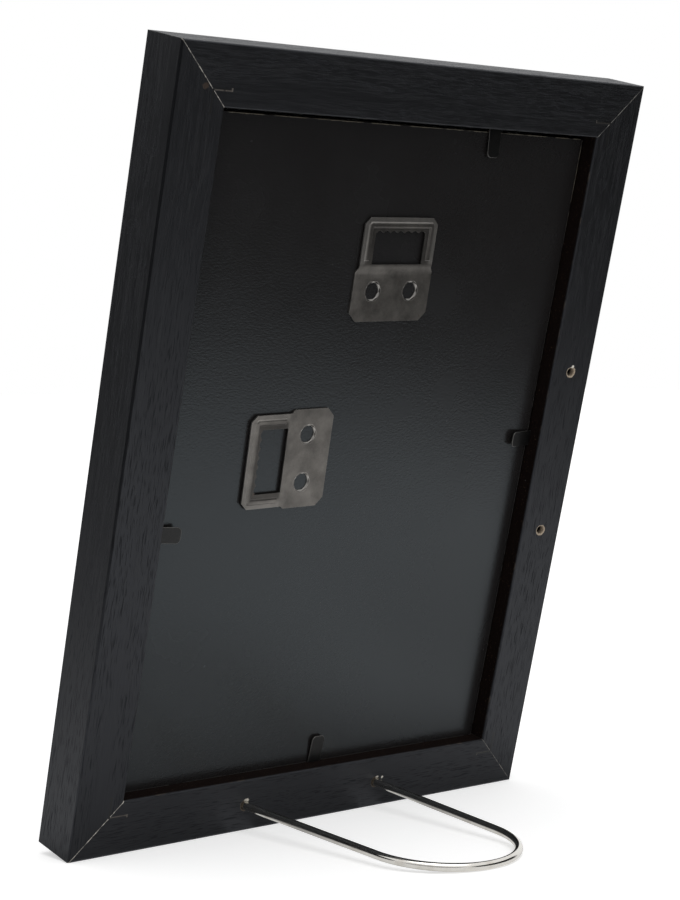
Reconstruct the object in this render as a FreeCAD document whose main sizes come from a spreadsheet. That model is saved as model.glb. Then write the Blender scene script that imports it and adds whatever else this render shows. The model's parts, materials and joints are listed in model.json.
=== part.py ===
# Photo frame for a 130 by 180 mm picture, standing on a bent wire, its back towards +Y.
#
# The frame is first worked out standing straight: X runs to the right as seen from the front,
# Y runs from the front to the back with the back of the rails at zero, and Z runs up from the
# bottom edge. Then the whole frame leans back on its lower back edge until the wire touches
# the ground, and is moved so that its origin is the middle of the floor area that it covers.

import FreeCAD, Part
import math
import os
import re
import Sketcher

Vector = FreeCAD.Vector
Rotation = FreeCAD.Rotation
Placement = FreeCAD.Placement

# The driving sizes, in millimetres and, where the name says so, in degrees
SIZES = {
    # picture, and what lies in the rebate from the front to the back
    "picture_width": 130.0,
    "picture_height": 180.0,
    "side_play": 0.7,
    "top_play": 1.4,
    "glass_thick": 2.0,
    "sheet_thick": 0.3,
    "board_thick": 2.5,
    "board_recess": 4.7,
    # wooden rails
    "rail_wide": 15.3,
    "lip_wide": 5.0,
    "lip_thick": 5.0,
    "edge_round": 0.5,
    # nails pressed across the mitres
    "nail_apex": 11.4,
    "nail_leg": 5.7,
    "nail_thick": 0.5,
    "nail_hook": 0.4,
    "nail_deep": 7.0,
    # flexible steel tabs that hold the board
    "tab_wide": 4.4,
    "tab_thick": 0.4,
    "tab_reach": 7.8,
    "tab_corner": 1.3,
    "tab_board_gap": 0.15,
    "tab_wall_gap": 0.25,
    "anchor_long": 6.0,
    "anchor_point": 2.0,
    "top_tab_shift": 30.0,
    "bottom_tab_shift": -2.6,
    "left_tab_shift": -2.5,
    "right_tab_shift": -18.8,
    "top_tab_rise_degrees": 6.0,
    "bottom_tab_rise_degrees": 3.5,
    "left_tab_rise_degrees": 8.0,
    "right_tab_rise_degrees": 12.0,
    # saw-tooth hangers
    "plate_thick": 0.5,
    "plate_raise": 0.5,
    "joggle_long": 0.8,
    "flange_wide": 27.3,
    "flange_tall": 14.6,
    "flange_cut": 2.3,
    "step_cut": 1.2,
    "eye_wide": 25.6,
    "eye_tall": 13.5,
    "eye_cut": 1.8,
    "window_wide": 17.7,
    "window_tall": 8.6,
    "window_low": 0.9,
    "tooth_pitch": 2.5,
    "tooth_deep": 0.5,
    "tooth_round": 1.3,
    "bead_wide": 1.7,
    "bead_proud": 0.35,
    "bead_margin": 1.1,
    "bead_taper_degrees": 40.0,
    "hole_gap": 13.3,
    "hole_low": 6.4,
    "hole_corner": 2.8,
    "collar_wall": 0.4,
    "collar_bite": 1.3,
    "upper_hanger_shift": -1.8,
    "upper_hanger_drop": 37.5,
    "upper_hanger_turn_degrees": 1.2,
    "upper_hole_turn_degrees": 3,
    "side_hanger_inset": 39.6,
    "side_hanger_lift": -0.4,
    "side_hanger_turn_degrees": 91.6,
    "side_hole_turn_degrees": 30,
    # wire stand and its holes
    "wire_thick": 2.3,
    "wire_play": 0.05,
    "wire_reach": 73.0,
    "wire_bend": 21.75,
    "wire_straight": 1.0,
    "wire_kink": 20.0,
    "wire_seat": 9.5,
    "wire_slope_degrees": 9.0,
    "bore_gap": 48.0,
    "bore_deep": 10.0,
    "rim_deep": 0.35,
    "rim_wide": 0.45,
    "spare_bore_shift": 0.9,
    # how far a cut runs past what it cuts
    "overrun": 2.0,
}

TOOTH_COUNT = 7
HOLE_CORNERS = 6

# Sizes that follow from the driving ones
FORMULAS = {
    "outer_width": "picture_width + 2 * side_play + 2 * rail_wide",
    "outer_height": "picture_height + top_play + 2 * rail_wide",
    "face_wide": "rail_wide + lip_wide",
    "rail_deep": "lip_thick + glass_thick + sheet_thick + board_thick + board_recess",
    "rebate_deep": "glass_thick + sheet_thick + board_thick + board_recess",
    "tab_level": "board_recess - tab_board_gap - tab_thick / 2",
    "nail_tip": "nail_apex + nail_leg",
    "nail_back": "nail_apex - nail_thick",
    "nail_toe": "nail_apex - nail_thick - nail_hook",
    "upper_hanger_level": "rail_wide + picture_height - upper_hanger_drop",
    "side_hanger_across": "picture_width / 2 - side_hanger_inset",
    "side_hanger_level": "outer_height / 2 + side_hanger_lift",
    "plate_stack": "plate_raise + plate_thick",
    "window_top": "window_low + window_tall",
    "collar_corner": "hole_corner + 2 * collar_wall / sqrt(3)",
    "bead_outer": "eye_wide / 2 - bead_margin",
    "bead_inner": "eye_wide / 2 - bead_margin - bead_wide",
    "bead_top": "eye_tall - bead_margin",
    "bead_under": "eye_tall - bead_margin - bead_wide",
    "bead_foot": "joggle_long + bead_margin",
    "bore_radius": "wire_thick / 2 + wire_play",
    "rim_slope": "rim_wide / rim_deep",
    "stand_height": "rail_wide / 2",
}

doc = FreeCAD.newDocument("standing_photo_frame")


def linked(text):
    """An expression on the two sheets, from a sum written in the plain names of sizes."""
    def full_name(match):
        word = match.group(0)
        if word in SIZES:
            return "Dims." + word
        return "Worked." + word if word in FORMULAS else word
    return re.sub(r"[a-z][a-z_]+", full_name, text)


def fill_sheet(name, cells):
    """A sheet with one row for each size: its name in column A, its value in column B."""
    sheet = doc.addObject("Spreadsheet::Sheet", name)
    for row, (alias, content) in enumerate(cells.items(), start=1):
        sheet.set("A%d" % row, alias)
        sheet.set("B%d" % row, content)
        sheet.setAlias("B%d" % row, alias)
    return sheet


dims = fill_sheet("Dims", {name: str(number) for name, number in SIZES.items()})
doc.recompute()
worked = fill_sheet("Worked", {name: "=" + linked(text) for name, text in FORMULAS.items()})
doc.recompute()


def size(name):
    """The number that a sheet holds under this name."""
    return float((dims if name in SIZES else worked).get(name))


def bind(item, **formulas):
    """Ties properties of an object to sums of sizes. A double underscore stands for a dot."""
    for path, text in formulas.items():
        item.setExpression(path.replace("__", "."), linked(text))


# Building blocks of a body

def new_body(label):
    body = doc.addObject("PartDesign::Body", label)
    body.Label = label
    return body


def origin_plane(body, role):
    return next(item for item in body.Origin.OriginFeatures if item.Role == role)


def new_sketch(body, name, role, lift="0"):
    """An empty sketch on one of the body's own origin planes, lifted along its normal."""
    sketch = body.newObject("Sketcher::SketchObject", name)
    sketch.AttachmentSupport = (origin_plane(body, role), [""])
    sketch.MapMode = "FlatFace"
    bind(sketch, AttachmentOffset__Base__z=lift)
    return sketch


def constrain(sketch, text, *rule):
    """Adds a constraint whose value is a sum of sizes."""
    value = float(sketch.evalExpression(linked(text)))
    row = sketch.addConstraint(Sketcher.Constraint(*rule, value))
    sketch.setExpression("Constraints[%d]" % row, linked(text))


def place_point(sketch, item, end, across, up):
    """Fixes one point of a sketch by its two distances from the sketch's own origin."""
    constrain(sketch, across, "DistanceX", -1, 1, item, end)
    constrain(sketch, up, "DistanceY", -1, 1, item, end)


def draw_outline(sketch, points):
    """A closed outline of straight lines through points that are written in sizes."""
    first = sketch.GeometryCount
    count = len(points)
    corners = [
        Vector(*[float(sketch.evalExpression(linked(text))) for text in point], 0)
        for point in points
    ]
    for number in range(count):
        following = corners[(number + 1) % count]
        sketch.addGeometry(Part.LineSegment(corners[number], following), False)
    for number in range(count):
        following = first + (number + 1) % count
        sketch.addConstraint(Sketcher.Constraint("Coincident", first + number, 2, following, 1))
    for number, (across, up) in enumerate(points):
        place_point(sketch, first + number, 1, across, up)


def outline_sketch(body, name, role, outlines, lift="0"):
    sketch = new_sketch(body, name, role, lift)
    for points in outlines:
        draw_outline(sketch, points)
    return sketch


def rectangle(left, low, right, high):
    return [(left, low), (right, low), (right, high), (left, high)]


def mirrored(points):
    """The same outline on the other side of the sketch's upright axis."""
    return [("-(%s)" % across, up) for across, up in points]


def pad(body, name, sketch, length, **settings):
    feature = body.newObject("PartDesign::Pad", name)
    feature.Profile = sketch
    bind(feature, Length=length)
    for setting, value in settings.items():
        setattr(feature, setting, value)
    return feature


def pocket(body, name, sketch, length, **settings):
    """A cut. It has to take something away, because a cut into the air shows no error."""
    doc.recompute()
    before = body.Shape.Volume
    feature = body.newObject("PartDesign::Pocket", name)
    feature.Profile = sketch
    bind(feature, Length=length)
    for setting, value in settings.items():
        setattr(feature, setting, value)
    doc.recompute()
    if body.Shape.Volume >= before:
        raise ValueError("the cut %s takes nothing away" % feature.Label)
    return feature


def primitive(body, kind, name, base, rotation, **formulas):
    """An added or subtracted cylinder, cone or prism whose base point is written in sizes."""
    feature = body.newObject("PartDesign::" + kind, name)
    feature.Placement = Placement(Vector(), rotation)
    for axis, text in zip("xyz", base):
        feature.setExpression("Placement.Base." + axis, linked(text))
    bind(feature, **formulas)
    return feature


def round_edges(body, name, radius, wanted):
    """Rounds the edges of the body's shape that the test called wanted accepts."""
    doc.recompute()
    tip = body.Tip
    chosen = [
        "Edge%d" % number
        for number, edge in enumerate(tip.Shape.Edges, start=1)
        if wanted(edge)
    ]
    feature = body.newObject("PartDesign::Fillet", name)
    feature.Base = (tip, chosen)
    bind(feature, Radius=radius)
    return feature


def is_near(one, other):
    return math.isclose(one, other, abs_tol=size("edge_round") / 1000)


# Where things stand. The lean follows from the wire: its outer bend and the rounded lower
# back edge of the frame touch the same ground.

ACROSS = Vector(1, 0, 0)
BACKWARD = Vector(0, 1, 0)
UPWARD = Vector(0, 0, 1)
QUARTER_TURN = 90

slope = math.radians(size("wire_slope_degrees"))
bend_back = size("wire_reach") * math.cos(slope)
bend_high = size("stand_height") + size("wire_reach") * math.sin(slope)
wire_radius = size("wire_thick") / 2
arm = math.hypot(bend_back + size("edge_round"), bend_high - size("edge_round"))
lean = math.atan2(bend_high - size("edge_round"), bend_back + size("edge_round"))
lean -= math.asin((wire_radius - size("edge_round")) / arm)

lean_turn = Rotation(ACROSS, -math.degrees(lean))


def leaned(back, high):
    """Where a point of the upright side view comes to lie once the frame leans back."""
    return lean_turn.multVec(Vector(0, back, high))


lower_back = leaned(-size("edge_round"), size("edge_round"))
lower_front = leaned(-size("rail_deep") + size("edge_round"), size("edge_round"))
bend_end = leaned(bend_back, bend_high)
foremost = lower_front.y - size("edge_round")
hindmost = bend_end.y + wire_radius
lean_place = Placement(
    Vector(0, -(foremost + hindmost) / 2, size("edge_round") - lower_back.z), lean_turn)


def turned(degrees, x, z):
    """A place in the leaning frame: a turn about the front-to-back axis, then a shift."""
    return lean_place.multiply(Placement(Vector(x, 0, z), Rotation(BACKWARD, degrees)))


half_wide = size("outer_width") / 2
half_tall = size("outer_height") / 2

# A rail is drawn with its outer edge along X and its inner side towards +Z.
RAIL_PLACES = {
    "bottom": turned(0, 0, 0),
    "top": turned(2 * QUARTER_TURN, 0, size("outer_height")),
    "left": turned(QUARTER_TURN, -half_wide, half_tall),
    "right": turned(-QUARTER_TURN, half_wide, half_tall),
}
CORNER_PLACES = {
    "bottom_left": turned(0, -half_wide, 0),
    "bottom_right": turned(-QUARTER_TURN, half_wide, 0),
    "top_right": turned(2 * QUARTER_TURN, half_wide, size("outer_height")),
    "top_left": turned(QUARTER_TURN, -half_wide, size("outer_height")),
}


# Outlines that a piece shares with the cut that it sits in

def nail_outline(start, sign):
    """The nail seen from behind: two legs at a right angle, each with a small hook."""
    corners = [
        ("nail_apex", "nail_apex"),
        ("nail_tip", "nail_apex"),
        ("nail_tip", "nail_toe"),
        ("nail_tip - nail_thick", "nail_toe"),
        ("nail_tip - nail_thick", "nail_back"),
        ("nail_back", "nail_back"),
        ("nail_back", "nail_tip - nail_thick"),
        ("nail_toe", "nail_tip - nail_thick"),
        ("nail_toe", "nail_tip"),
        ("nail_apex", "nail_tip"),
    ]
    return [("%s %s (%s)" % (start, sign, along), up) for along, up in corners]


def anchor_outline(middle, wall):
    """The part of a tab that is driven into the wood, ending in a point."""
    return [
        ("%s - tab_wide / 2" % middle, wall),
        ("%s + tab_wide / 2" % middle, wall),
        ("%s + tab_wide / 2" % middle, "%s - anchor_long + anchor_point" % wall),
        (middle, "%s - anchor_long" % wall),
        ("%s - tab_wide / 2" % middle, "%s - anchor_long + anchor_point" % wall),
    ]


# The direction in which the stand's legs leave a rail, from the square of its back face
leg_turn = Rotation(ACROSS, size("wire_slope_degrees") - QUARTER_TURN)


def drill_bore(body, name, middle):
    """A sloping blind hole with a chipped rim, its mouth in the middle of the back face."""
    def sunk(depth):
        return (
            middle,
            "-%s * cos(wire_slope_degrees)" % depth,
            "stand_height - %s * sin(wire_slope_degrees)" % depth,
        )
    primitive(
        body, "SubtractiveCylinder", name, sunk("bore_deep"), leg_turn,
        Radius="bore_radius", Height="bore_deep + overrun")
    primitive(
        body, "SubtractiveCone", name + "_rim", sunk("rim_deep"), leg_turn,
        Radius1="bore_radius", Height="rim_deep + overrun",
        Radius2="bore_radius + rim_slope * (rim_deep + overrun)")


def make_rail(side, length, bore_middles):
    """One mitred rail with its rebate, nail slots, tab kerf and the stand's holes."""
    body = new_body(side + "_rail")
    end = length + " / 2"
    front = outline_sketch(body, side + "_rail_front", "XZ_Plane", [[
        ("-" + end, "0"), (end, "0"),
        (end + " - face_wide", "face_wide"), ("-%s + face_wide" % end, "face_wide"),
    ]])
    pad(body, side + "_rail_blank", front, "rail_deep")
    rebate = outline_sketch(body, side + "_rebate_outline", "XZ_Plane", [
        rectangle("-%s - overrun" % end, "rail_wide", end + " + overrun", "face_wide + overrun")])
    pocket(body, side + "_rebate", rebate, "rebate_deep", Reversed=True)

    rims = {
        (0, 0), (-size("rail_deep"), 0),
        (-size("rail_deep"), size("face_wide")), (0, size("rail_wide")),
    }

    def is_rim(edge):
        low, high = (vertex.Point for vertex in edge.Vertexes)
        level = is_near(low.y, high.y) and is_near(low.z, high.z)
        return level and any(is_near(low.y, y) and is_near(low.z, z) for y, z in rims)

    round_edges(body, side + "_rail_edges", "edge_round", is_rim)
    nails = outline_sketch(body, side + "_nail_slots", "XZ_Plane", [
        nail_outline("-" + end, "+"), nail_outline(end, "-")])
    pocket(body, side + "_nail_cut", nails, "nail_deep", Reversed=True)
    kerf = outline_sketch(
        body, side + "_kerf_outline", "XZ_Plane",
        [anchor_outline(side + "_tab_shift", "rail_wide")], lift="tab_level - tab_thick / 2")
    pocket(body, side + "_kerf", kerf, "tab_thick", Reversed=True)
    for number, middle in enumerate(bore_middles, start=1):
        drill_bore(body, "%s_bore_%d" % (side, number), middle)
    body.Placement = RAIL_PLACES[side]
    return body


def make_corner_nail(corner):
    """A V-shaped steel nail, pressed in from behind so that it holds both rails."""
    body = new_body("corner_nail_" + corner)
    outline = outline_sketch(
        body, "nail_outline_" + corner, "XZ_Plane", [nail_outline("0", "+")])
    pad(body, "nail_" + corner, outline, "nail_deep")
    body.Placement = CORNER_PLACES[corner]
    return body


def make_layer(label, thick, lift):
    """A flat sheet as large as the picture. It stands on the bottom rail's rebate."""
    body = new_body(label)
    outline = outline_sketch(body, label + "_outline", "XZ_Plane", [rectangle(
        "-picture_width / 2", "rail_wide", "picture_width / 2", "rail_wide + picture_height")], lift)
    pad(body, label + "_sheet", outline, thick)
    body.Placement = lean_place
    return body


# Hangers: each is drawn with its foot on the board at Y zero, its window above the X axis
# and its flange with the two pierced holes below it.

HANGERS = {
    "portrait": ("upper_hanger_shift", "upper_hanger_level", "upper_hanger_turn_degrees"),
    "landscape": ("side_hanger_across", "side_hanger_level", "side_hanger_turn_degrees"),
}
HOLE_TURNS = {"portrait": "upper_hole_turn_degrees", "landscape": "side_hole_turn_degrees"}


def hanger_spot(way):
    """Where a hanger lies on the upright board."""
    x, z, turn = (size(name) for name in HANGERS[way])
    return Placement(Vector(x, -size("board_recess"), z), Rotation(BACKWARD, turn))


# Turns a prism so that it stands on the board with two of its corners up and down
prism_turn = Rotation(Vector(1, 1, 1), -120)


def pierce(body, way, kind, name, middle, back, corner, height, spot=None):
    """A six-sided prism on one of a hanger's two holes, drawn in the hanger's own place."""
    turn = Rotation(BACKWARD, size(HOLE_TURNS[way]))
    feature = body.newObject("PartDesign::" + kind, name)
    feature.Polygon = HOLE_CORNERS
    bind(feature, Circumradius=corner, Height=height)
    place = Placement(Vector(middle, back, -size("hole_low")), turn.multiply(prism_turn))
    feature.Placement = spot.multiply(place) if spot else place
    return feature


def hole_middles():
    return (-size("hole_gap") / 2, size("hole_gap") / 2)


def make_hanger(way):
    body = new_body("hanger_" + way)
    # the bent plate seen from the side: flange on the board, eye standing off it
    side = outline_sketch(body, way + "_side_view", "YZ_Plane", [[
        ("0", "-flange_tall"), ("0", "0"),
        ("plate_raise", "joggle_long"), ("plate_raise", "eye_tall"),
        ("plate_stack", "eye_tall"), ("plate_stack", "joggle_long"),
        ("plate_thick", "0"), ("plate_thick", "-flange_tall"),
    ]])
    pad(body, way + "_plate", side, "flange_wide", Midplane=True)
    lower_corner = [
        ("flange_wide / 2 - flange_cut", "-flange_tall"),
        ("flange_wide / 2", "-flange_tall + flange_cut"),
        ("flange_wide / 2 + overrun", "-flange_tall + flange_cut"),
        ("flange_wide / 2 + overrun", "-flange_tall - overrun"),
        ("flange_wide / 2 - flange_cut", "-flange_tall - overrun"),
    ]
    upper_side = [
        ("flange_wide / 2", "-step_cut"),
        ("eye_wide / 2", "0"),
        ("eye_wide / 2", "eye_tall - eye_cut"),
        ("eye_wide / 2 - eye_cut", "eye_tall"),
        ("eye_wide / 2 - eye_cut", "eye_tall + overrun"),
        ("flange_wide / 2 + overrun", "eye_tall + overrun"),
        ("flange_wide / 2 + overrun", "-step_cut"),
    ]
    trims = outline_sketch(body, way + "_trim_outline", "XZ_Plane", [
        lower_corner, mirrored(lower_corner), upper_side, mirrored(upper_side)])
    pocket(body, way + "_trim", trims, "2 * (plate_stack + overrun)", Midplane=True)
    window = outline_sketch(body, way + "_window_outline", "XZ_Plane", [
        rectangle("-window_wide / 2", "window_low", "window_wide / 2", "window_top")])
    pocket(body, way + "_window", window, "2 * (plate_stack + overrun)", Midplane=True)
    for tooth in range(TOOTH_COUNT):
        steps = tooth - (TOOTH_COUNT - 1) / 2
        primitive(
            body, "SubtractiveCylinder", "%s_notch_%d" % (way, tooth + 1),
            ("%s * tooth_pitch" % steps, "-overrun", "window_top + tooth_deep - tooth_round"),
            Rotation(ACROSS, -QUARTER_TURN),
            Radius="tooth_round", Height="plate_stack + 2 * overrun")
    # a stiffening bead runs round three sides of the window
    bead = outline_sketch(body, way + "_bead_outline", "XZ_Plane", [[
        ("-bead_outer", "bead_foot"), ("-bead_outer", "bead_top - eye_cut / 2"),
        ("-bead_outer + eye_cut / 2", "bead_top"), ("bead_outer - eye_cut / 2", "bead_top"),
        ("bead_outer", "bead_top - eye_cut / 2"), ("bead_outer", "bead_foot"),
        ("bead_inner", "bead_foot"), ("bead_inner", "bead_under"),
        ("-bead_inner", "bead_under"), ("-bead_inner", "bead_foot"),
    ]], lift="-plate_stack")
    ridge = pad(body, way + "_bead", bead, "bead_proud", Reversed=True)
    bind(ridge, TaperAngle="-bead_taper_degrees")
    bite = size("collar_bite")
    for number, middle in enumerate(hole_middles(), start=1):
        pierce(body, way, "AdditivePrism", "%s_collar_%d" % (way, number), middle, -bite,
               "collar_corner", "collar_bite + plate_thick")
    for number, middle in enumerate(hole_middles(), start=1):
        pierce(body, way, "SubtractivePrism", "%s_hole_%d" % (way, number), middle,
               -bite - size("overrun"), "hole_corner",
               "collar_bite + plate_thick + 2 * overrun")
    body.Placement = lean_place.multiply(hanger_spot(way))
    return body


def make_board():
    """The hardboard back, with the grooves that the hangers' collars are pressed into."""
    body = make_layer("backing_board", "board_thick", "board_recess")
    bite = size("collar_bite")
    for kind, corner in (("SubtractivePrism", "collar_corner"), ("AdditivePrism", "hole_corner")):
        for way in HANGERS:
            for number, middle in enumerate(hole_middles(), start=1):
                pierce(body, way, kind, "board_%s_%s_%d" % (corner, way, number), middle, -bite,
                       corner, "collar_bite", spot=hanger_spot(way))
    return body


# Tabs: a tongue lies over the board and can be bent up, its anchor stays in the wood.

def tab_place(side, rise):
    """The line that a tab bends on, in its rail, turned up by a number of degrees."""
    spot = Vector(
        size(side + "_tab_shift"), -size("tab_level"), size("rail_wide") + size("tab_wall_gap"))
    return RAIL_PLACES[side].multiply(Placement(spot, Rotation(ACROSS, -rise)))


def make_tongue(side):
    body = new_body("tab_tongue_" + side)
    outline = outline_sketch(body, "tongue_outline_" + side, "XZ_Plane", [
        rectangle("-tab_wide / 2", "0", "tab_wide / 2", "tab_reach")])
    pad(body, "tongue_" + side, outline, "tab_thick", Midplane=True)
    reach = size("tab_reach")

    def is_tip_corner(edge):
        low, high = (vertex.Point for vertex in edge.Vertexes)
        return is_near(low.z, reach) and is_near(high.z, reach) and is_near(low.x, high.x)

    round_edges(body, "tongue_tip_" + side, "tab_corner", is_tip_corner)
    primitive(
        body, "AdditiveCylinder", "tongue_root_" + side, ("-tab_wide / 2", "0", "0"),
        Rotation(BACKWARD, QUARTER_TURN), Radius="tab_thick / 2", Height="tab_wide")
    body.Placement = tab_place(side, size(side + "_tab_rise_degrees"))
    return body


def make_anchor(side):
    body = new_body("tab_anchor_" + side)
    outline = outline_sketch(
        body, "anchor_outline_" + side, "XZ_Plane", [anchor_outline("0", "-tab_wall_gap")])
    pad(body, "anchor_" + side, outline, "tab_thick", Midplane=True)
    body.Placement = tab_place(side, 0)
    return body


# The wire stand: drawn flat, with X across and Y along its legs, its mouth line at Y zero.

def make_stand():
    body = new_body("stand_wire")
    path = new_sketch(body, "wire_path", "XY_Plane")
    half_gap = size("bore_gap") / 2
    bend, kink = size("wire_bend"), size("wire_kink")
    straight = size("wire_straight")
    centre_high = size("wire_reach") - bend
    # the leg runs between the kink circle and the bend circle as their common tangent
    kink_across = half_gap - kink
    between = math.hypot(kink_across, centre_high - straight)
    tilt = math.acos((bend - kink) / between) - math.atan2(centre_high - straight, kink_across)

    def on_circle(centre, radius, angle):
        return centre + Vector(radius * math.cos(angle), radius * math.sin(angle), 0)

    bend_centre = Vector(0, centre_high, 0)
    kink_right = Vector(kink_across, straight, 0)
    kink_left = Vector(-kink_across, straight, 0)
    seat_right = Vector(half_gap, -size("wire_seat"), 0)
    seat_left = Vector(-half_gap, -size("wire_seat"), 0)
    normal = Vector(0, 0, 1)

    def arc(centre, radius, start, stop):
        return Part.ArcOfCircle(Part.Circle(centre, normal, radius), start, stop)

    pieces = [
        Part.LineSegment(seat_left, Vector(-half_gap, straight, 0)),
        arc(kink_left, kink, math.pi - tilt, math.pi),
        Part.LineSegment(on_circle(kink_left, kink, math.pi - tilt),
                         on_circle(bend_centre, bend, math.pi - tilt)),
        arc(bend_centre, bend, tilt, math.pi - tilt),
        Part.LineSegment(on_circle(bend_centre, bend, tilt), on_circle(kink_right, kink, tilt)),
        arc(kink_right, kink, 0, tilt),
        Part.LineSegment(Vector(half_gap, straight, 0), seat_right),
    ]
    for piece in pieces:
        path.addGeometry(piece, False)
    joins = ((0, 2, 1, 2), (1, 1, 2, 1), (2, 2, 3, 2), (3, 1, 4, 1), (4, 2, 5, 2), (5, 1, 6, 1))
    for one, one_end, other, other_end in joins:
        path.addConstraint(Sketcher.Constraint("Tangent", one, one_end, other, other_end))
    place_point(path, 0, 1, "-bore_gap / 2", "-wire_seat")
    place_point(path, 6, 2, "bore_gap / 2", "-wire_seat")
    place_point(path, 1, 2, "-bore_gap / 2", "wire_straight")
    place_point(path, 5, 1, "bore_gap / 2", "wire_straight")
    place_point(path, 3, 3, "0", "wire_reach - wire_bend")
    for item, text in ((1, "wire_kink"), (3, "wire_bend"), (5, "wire_kink")):
        constrain(path, text, "Radius", item)
    section = new_sketch(body, "wire_section", "XZ_Plane", "wire_seat")
    section.addGeometry(Part.Circle(Vector(-half_gap, 0, 0), normal, wire_radius), False)
    place_point(section, 0, 3, "-bore_gap / 2", "0")
    constrain(section, "wire_thick", "Diameter", 0)
    sweep = body.newObject("PartDesign::AdditivePipe", "wire_sweep")
    sweep.Profile = section
    sweep.Spine = (path, [])
    doc.recompute()
    length = sum(edge.Length for edge in path.Shape.Edges)
    share = sweep.Shape.Volume / (length * math.pi * wire_radius ** 2)
    print("wire length %.1f mm, volume against section times length %.4f" % (length, share))
    body.Placement = stand_place
    return body


stand_place = lean_place.multiply(Placement(
    Vector(0, 0, size("stand_height")), Rotation(ACROSS, size("wire_slope_degrees"))))

# The whole frame

sub_parts = [
    make_rail("bottom", "outer_width", ["-bore_gap / 2", "bore_gap / 2"]),
    make_rail("top", "outer_width", []),
    make_rail("left", "outer_height",
              ["spare_bore_shift - bore_gap / 2", "spare_bore_shift + bore_gap / 2"]),
    make_rail("right", "outer_height", []),
]
sub_parts += [make_corner_nail(corner) for corner in CORNER_PLACES]
sub_parts += [
    make_layer("glass_pane", "glass_thick", "board_recess + board_thick + sheet_thick"),
    make_layer("picture_sheet", "sheet_thick", "board_recess + board_thick"),
    make_board(),
]
sub_parts += [make_hanger(way) for way in HANGERS]
sub_parts += [make_tongue(side) for side in RAIL_PLACES]
sub_parts += [make_anchor(side) for side in RAIL_PLACES]
sub_parts.append(make_stand())

doc.recompute()

# Nothing is written unless every object is sound
for item in doc.Objects:
    if "Invalid" in item.State or "Error" in item.State:
        raise ValueError("%s: %s" % (item.Label, item.State))
for body in sub_parts:
    if body.Shape.isNull() or not body.Shape.isValid() or len(body.Shape.Solids) != 1:
        raise ValueError("%s has no sound solid" % body.Label)

os.makedirs("parts", exist_ok=True)
for body in sub_parts:
    body.Shape.exportStep("parts/%s.step" % body.Label)
print("lean %.2f degrees, %d sub-parts" % (math.degrees(lean), len(sub_parts)))
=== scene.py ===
# %% [markdown]
# # A wooden picture frame, seen from behind
# The frame stands on a bent wire and leans back a little. Its sizes and joints come from
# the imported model, so this script only dresses that model: it gives every surface its
# finish and rebuilds a few small metal pieces with softer edges than the model has.

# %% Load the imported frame
import json
import math
from functools import partial, reduce

import bmesh
import bpy
from mathutils import Matrix, Vector


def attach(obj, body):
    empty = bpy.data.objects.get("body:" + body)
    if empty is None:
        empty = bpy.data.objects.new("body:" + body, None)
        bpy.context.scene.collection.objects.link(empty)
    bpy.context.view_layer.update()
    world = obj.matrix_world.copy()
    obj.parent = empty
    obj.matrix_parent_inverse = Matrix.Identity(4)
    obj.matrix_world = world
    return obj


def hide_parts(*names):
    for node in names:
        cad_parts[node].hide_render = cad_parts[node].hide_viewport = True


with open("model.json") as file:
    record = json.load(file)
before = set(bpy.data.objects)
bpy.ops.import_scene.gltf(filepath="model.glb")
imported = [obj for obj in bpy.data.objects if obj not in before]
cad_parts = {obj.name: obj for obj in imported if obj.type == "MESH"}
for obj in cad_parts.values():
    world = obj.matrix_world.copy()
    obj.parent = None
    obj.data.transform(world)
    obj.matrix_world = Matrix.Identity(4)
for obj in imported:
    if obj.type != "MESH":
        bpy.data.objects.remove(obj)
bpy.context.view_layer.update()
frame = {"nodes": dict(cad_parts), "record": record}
nodes = frame["nodes"]
MM = 0.001

# %% [markdown]
# Grain, seams and worn edges follow the frame, and the frame leans. It is easier to think
# about a frame that stands upright, with the back of its rails at Y zero and its lower edge
# at Z zero. The lean is read from the mount on the back, and the rest is measured.

# %% Find the upright frame
back_face = next(m for m in frame["record"]["mounts"] if m["name"] == "back_face")
LEAN = math.atan2(-back_face["axis"][2], back_face["axis"][1])
stand_up = Matrix.Rotation(LEAN, 4, "X")
rail_points = [stand_up @ vertex.co for vertex in nodes["left_rail"].data.vertices]
back_plane = max(point.y for point in rail_points)
low_plane = min(point.z for point in rail_points)
UPRIGHT = Matrix.Translation((0, -back_plane, -low_plane)) @ stand_up
LEANED = UPRIGHT.inverted()


def upright_box(name):
    """Lowest and highest corner of a node of the model once the frame stands upright."""
    points = [UPRIGHT @ vertex.co for vertex in nodes[name].data.vertices]
    low = Vector([min(point[axis] for point in points) for axis in range(3)])
    high = Vector([max(point[axis] for point in points) for axis in range(3)])
    return low, high


rail_low, rail_high = upright_box("left_rail")
board_low, board_high = upright_box("backing_board")
HALF_WIDTH = -rail_low.x
HEIGHT = rail_high.z
RAIL_DEEP = -rail_low.y
print("lean %.2f degrees, frame %.1f by %.1f by %.1f mm" % (
    math.degrees(LEAN), 2 * HALF_WIDTH / MM, HEIGHT / MM, RAIL_DEEP / MM))

# %% [markdown]
# Sizes that a finish needs: the width of a rail at the back, and where the holes for the
# wire are. Holes lie in the middle of a rail, two of them in the lower rail and two spare
# ones in an upright.

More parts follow.
